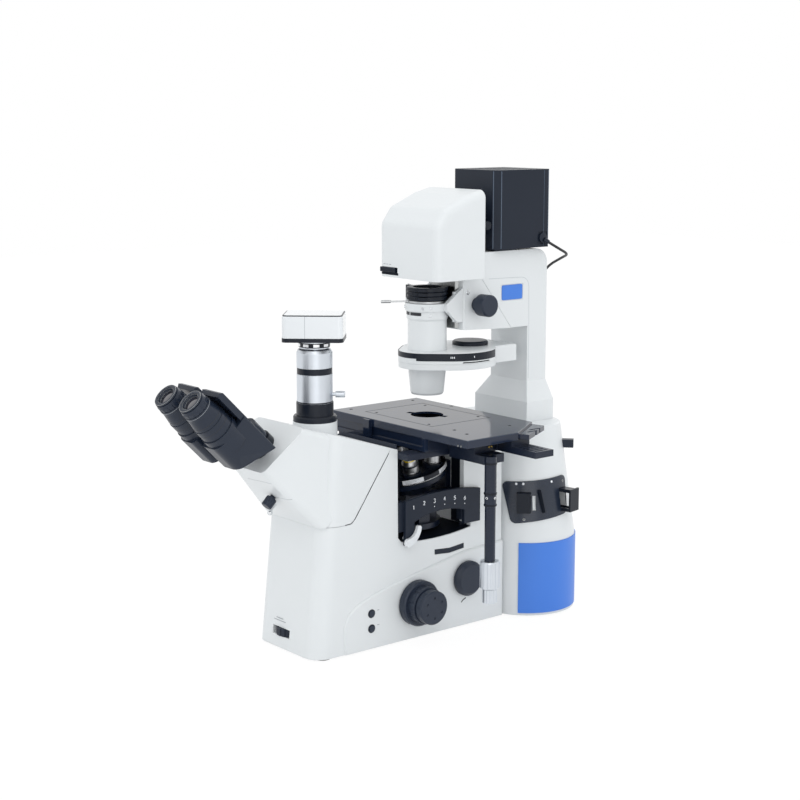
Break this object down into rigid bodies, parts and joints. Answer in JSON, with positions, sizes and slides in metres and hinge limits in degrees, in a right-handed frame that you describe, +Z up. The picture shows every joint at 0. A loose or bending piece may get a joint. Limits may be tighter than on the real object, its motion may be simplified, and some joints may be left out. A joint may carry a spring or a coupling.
{
  "type": "inverted microscope",
  "caption": "Inverted light microscope with paired eyepieces, camera port, moving stage, turning nosepiece, condenser on a pillar arm and lamphouse.",
  "frame": {"origin": "the point where the optical axis through objective, stage hole and condenser meets the bench plane", "axes": "+Z up along the optical axis, +Y away from the user, +X to the user's right"},
  "size_m": [0.35, 0.7227, 0.663],
  "materials": {
    "white_paint": "satin",
    "white_cover": "satin",
    "lens_paint": "satin",
    "blue": "satin",
    "rubber": "matte",
    "black_plastic": "satin",
    "black_metal": "satin",
    "anodised": "satin",
    "silver": "satin",
    "bright": "polished",
    "camera_shell": "gloss",
    "lead_skin": "satin"
  },
  "bodies": {
    "stand": {"main_casting": "white_paint", "rubber_feet": "rubber", "head_cover": "white_cover", "rear_housing": "white_cover", "rear_panel_blue": "blue", "filter_panel": "black_plastic", "rear_sockets": "black_plastic", "rear_block": "black_plastic", "pillar_arm": "white_paint", "arm_front": "white_paint", "lamp_hood": "white_cover", "lamp_tube": "black_metal", "lamphouse": "black_metal", "lead_gland": "black_plastic", "lead": "lead_skin", "lead_plug": "black_plastic", "condenser_rail": "silver", "port_ring": "black_metal", "camera_adapter": "silver", "camera_body": "camera_shell", "tube_hub": "black_metal", "cube_housing": "black_plastic", "side_strip": "black_plastic", "stage_base": "anodised"},
    "eye_right": {"tube_box_right": "black_metal", "eyepiece_right": "black_plastic"},
    "eye_left": {"tube_box_left": "black_metal", "eyepiece_left": "black_plastic"},
    "diopter_ring_right": {"diopter_right": "black_plastic"},
    "diopter_ring_left": {"diopter_left": "black_plastic"},
    "path_knob": {"light_path_knob": "black_plastic"},
    "coarse": {"coarse_knobs": "black_plastic"},
    "fine": {"fine_knobs": "black_plastic"},
    "carriage": {"focus_carriage": "anodised"},
    "nosepiece_turret": {"nosepiece": "bright", "objectives": "bright"},
    "filter_turret": {"cube_turret": "anodised"},
    "shutter_lever": {"turret_lever": "camera_shell"},
    "dial": {"side_dial": "black_plastic"},
    "upper_button": {"button_upper": "black_plastic"},
    "lower_button": {"button_lower": "black_plastic"},
    "brightness_wheel": {"thumb_wheel": "black_plastic"},
    "field_stop": {"field_lever": "black_plastic"},
    "condenser": {"condenser_carrier": "lens_paint", "condenser_body": "lens_paint"},
    "condenser_drive": {"condenser_knobs": "black_plastic"},
    "phase_turret": {"condenser_turret": "black_metal"},
    "aperture_stop": {"aperture_lever": "bright"},
    "swing_filter_1": {"filter_ring_1": "black_metal"},
    "swing_filter_2": {"filter_ring_2": "black_metal"},
    "swing_filter_3": {"filter_ring_3": "black_metal"},
    "stage_y": {"stage_middle": "anodised", "stage_column": "anodised"},
    "stage_x": {"stage_top": "anodised", "stage_insert": "anodised", "stage_rack": "anodised"},
    "stage_y_knob": {"stage_knob_y": "silver"},
    "stage_x_knob": {"stage_knob_x": "silver"},
    "front_filter_slide": {"filter_slide_front": "black_metal"},
    "rear_filter_slide": {"filter_slide_back": "black_metal"}
  },
  "joints": [
    {"name": "eye_right_swing", "type": "hinge", "parent": "stand", "child": "eye_right", "pos_m": [0, -0.30971, 0.31254], "axis": [0, -0.7071, 0.7071], "range_deg": [-6, 14]},
    {"name": "eye_left_swing", "type": "hinge", "parent": "stand", "child": "eye_left", "pos_m": [0, -0.3182, 0.32103], "axis": [0, -0.7071, 0.7071], "range_deg": [-14, 6]},
    {"name": "diopter_right_turn", "type": "hinge", "parent": "eye_right", "child": "diopter_ring_right", "pos_m": [0.03, -0.41967, 0.37371], "axis": [0, -0.7071, 0.7071], "range_deg": [-150, 150]},
    {"name": "diopter_left_turn", "type": "hinge", "parent": "eye_left", "child": "diopter_ring_left", "pos_m": [-0.03, -0.41967, 0.37371], "axis": [0, -0.7071, 0.7071], "range_deg": [-150, 150]},
    {"name": "light_path_turn", "type": "hinge", "parent": "stand", "child": "path_knob", "pos_m": [0.0094, -0.28291, 0.22861], "axis": [0, -0.7071, -0.7071], "range_deg": [0, 90]},
    {"name": "focus_lift", "type": "slide", "parent": "stand", "child": "carriage", "axis": [0, 0, 1], "range_m": [-0.004, 0.012]},
    {"name": "coarse_turn", "type": "hinge", "parent": "stand", "child": "coarse", "pos_m": [0, -0.083, 0.056], "axis": [1, 0, 0], "range_deg": [-45, 120]},
    {"name": "fine_turn", "type": "hinge", "parent": "stand", "child": "fine", "pos_m": [0, -0.083, 0.056], "axis": [1, 0, 0], "continuous": true},
    {"name": "nosepiece_turn", "type": "hinge", "parent": "carriage", "child": "nosepiece_turret", "pos_m": [0, -0.036, 0.226], "axis": [0, -0.225, 0.9744], "continuous": true},
    {"name": "filter_turret_turn", "type": "hinge", "parent": "stand", "child": "filter_turret", "pos_m": [0, -0.044, 0.155], "axis": [0, 0, 1], "continuous": true},
    {"name": "shutter_turn", "type": "hinge", "parent": "stand", "child": "shutter_lever", "pos_m": [0.076, -0.0985, 0.151], "axis": [1, 0, 0], "range_deg": [-8, 25]},
    {"name": "dial_turn", "type": "hinge", "parent": "stand", "child": "dial", "pos_m": [0.076, 0.0127, 0.0743], "axis": [1, 0, 0], "range_deg": [-90, 90]},
    {"name": "upper_button_press", "type": "slide", "parent": "stand", "child": "upper_button", "axis": [-1, 0, 0], "range_m": [0, 0.0015], "stiffness_N_per_m": 150},
    {"name": "lower_button_press", "type": "slide", "parent": "stand", "child": "lower_button", "axis": [-1, 0, 0], "range_m": [0, 0.0015], "stiffness_N_per_m": 150},
    {"name": "brightness_turn", "type": "hinge", "parent": "stand", "child": "brightness_wheel", "pos_m": [-0.011, -0.24, 0.026], "axis": [0, 0, 1], "range_deg": [-140, 140]},
    {"name": "field_stop_slide", "type": "slide", "parent": "stand", "child": "field_stop", "axis": [1, 0, 0], "range_m": [-0.004, 0.004]},
    {"name": "condenser_lift", "type": "slide", "parent": "stand", "child": "condenser", "axis": [0, 0, 1], "range_m": [-0.028, 0.008]},
    {"name": "condenser_turn", "type": "hinge", "parent": "stand", "child": "condenser_drive", "pos_m": [0, 0.06, 0.47], "axis": [1, 0, 0], "range_deg": [-140, 45]},
    {"name": "phase_turn", "type": "hinge", "parent": "condenser", "child": "phase_turret", "pos_m": [0, 0.042, 0.395], "axis": [0, 0, 1], "continuous": true},
    {"name": "aperture_turn", "type": "hinge", "parent": "condenser", "child": "aperture_stop", "pos_m": [0, 0, 0.476], "axis": [0, 0, 1], "range_deg": [-25, 25]},
    {"name": "swing_filter_1_turn", "type": "hinge", "parent": "condenser", "child": "swing_filter_1", "pos_m": [-0.038, -0.004, 0.481], "axis": [0, 0, 1], "range_deg": [-80, 0]},
    {"name": "swing_filter_2_turn", "type": "hinge", "parent": "condenser", "child": "swing_filter_2", "pos_m": [-0.038, -0.004, 0.487], "axis": [0, 0, 1], "range_deg": [-80, 0]},
    {"name": "swing_filter_3_turn", "type": "hinge", "parent": "condenser", "child": "swing_filter_3", "pos_m": [-0.038, -0.004, 0.493], "axis": [0, 0, 1], "range_deg": [-80, 0]},
    {"name": "stage_y_slide", "type": "slide", "parent": "stand", "child": "stage_y", "axis": [0, 1, 0], "range_m": [-0.02, 0.036]},
    {"name": "stage_x_slide", "type": "slide", "parent": "stage_y", "child": "stage_x", "axis": [1, 0, 0], "range_m": [-0.057, 0.057]},
    {"name": "stage_y_turn", "type": "hinge", "parent": "stage_y", "child": "stage_y_knob", "pos_m": [0.172, -0.03, 0.11], "axis": [0, 0, 1], "range_deg": [-110, 195]},
    {"name": "stage_x_turn", "type": "hinge", "parent": "stage_y", "child": "stage_x_knob", "pos_m": [0.172, -0.03, 0.08], "axis": [0, 0, 1], "range_deg": [-300, 300]},
    {"name": "front_filter_out", "type": "slide", "parent": "stand", "child": "front_filter_slide", "axis": [0.6947, -0.7193, 0], "range_m": [0, 0.025]},
    {"name": "rear_filter_out", "type": "slide", "parent": "stand", "child": "rear_filter_slide", "axis": [0.9781, 0.2079, 0], "range_m": [0, 0.025]}
  ],
  "couplings": [
    {"joint": "eye_left_swing", "follows": "eye_right_swing", "ratio": -1},
    {"joint": "coarse_turn", "follows": "focus_lift", "rad_per_m": 166},
    {"joint": "condenser_turn", "follows": "condenser_lift", "rad_per_m": 83},
    {"joint": "stage_y_turn", "follows": "stage_y_slide", "rad_per_m": 90},
    {"joint": "stage_x_turn", "follows": "stage_x_slide", "rad_per_m": 90}
  ]
}
